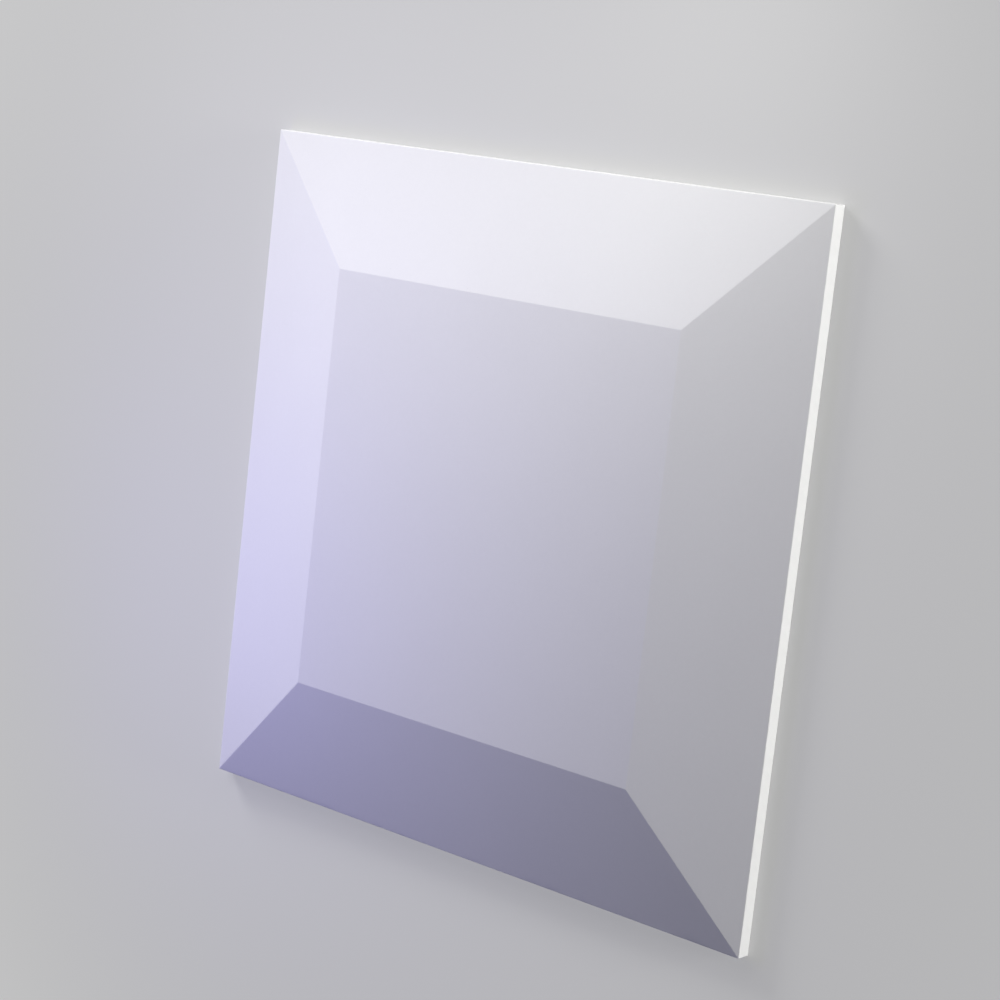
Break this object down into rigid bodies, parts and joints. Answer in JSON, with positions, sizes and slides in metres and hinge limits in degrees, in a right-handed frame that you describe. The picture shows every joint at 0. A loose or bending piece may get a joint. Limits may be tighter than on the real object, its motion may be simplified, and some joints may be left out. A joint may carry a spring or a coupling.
{
  "type": "3d wall panel tile",
  "caption": "Square cast plaster wall tile whose wide mitred bevels climb from thin straight edges to a raised flat centre; bonds to a wall by its flat back.",
  "frame": {"origin": "middle of the flat back, on the surface that the tile lies on", "axes": "+Z out of the face, away from the wall; +Y towards the edge that the picture shows uppermost; +X towards the edge that the picture shows on the right"},
  "size_m": [0.5, 0.5, 0.03],
  "materials": {
    "cast_plaster": "matte"
  },
  "bodies": {
    "root": {"wall_panel_tile": "cast_plaster"}
  },
  "joints": []
}
